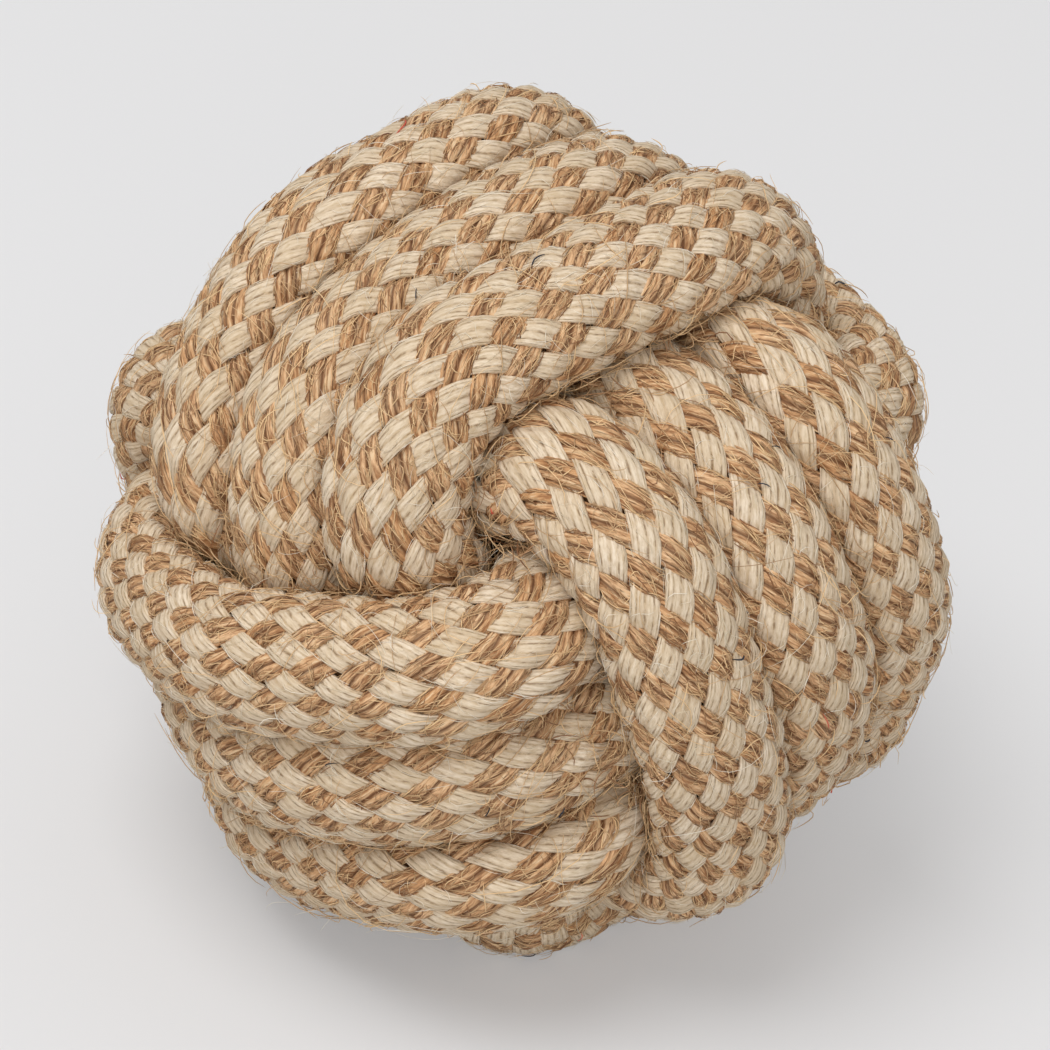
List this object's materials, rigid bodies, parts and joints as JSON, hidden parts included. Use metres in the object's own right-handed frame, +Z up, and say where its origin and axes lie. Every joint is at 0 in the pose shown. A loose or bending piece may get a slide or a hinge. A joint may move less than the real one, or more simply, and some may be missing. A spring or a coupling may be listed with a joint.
{
  "type": "rope dog toy",
  "caption": "Chew and fetch ball: one thick braided cotton-and-jute rope tied in a tight ball-shaped knot of crossing bands round a hidden rubber ball.",
  "frame": {"origin": "middle of the footprint of the whole ball, on the surface that it stands on", "axes": "+Z up; the pictured side faces -Y, and +X is to its right"},
  "size_m": [0.0938, 0.0898, 0.0882],
  "materials": {
    "cotton_and_jute_braid": "coarse braid of undyed cotton and jute yarn, matte, with stray fibres",
    "cotton_filler_yarn": "loose bundled cotton yarn, matte",
    "natural_rubber": "moulded, matte",
    "start_end_glue": "yarn ends soaked in set glue",
    "finish_end_glue": "yarn ends soaked in set glue"
  },
  "bodies": {
    "root": {"rope_sheath": "cotton_and_jute_braid", "rope_filler": "cotton_filler_yarn", "core_ball": "natural_rubber", "start_end_seal": "start_end_glue", "finish_end_seal": "finish_end_glue"}
  },
  "joints": []
}
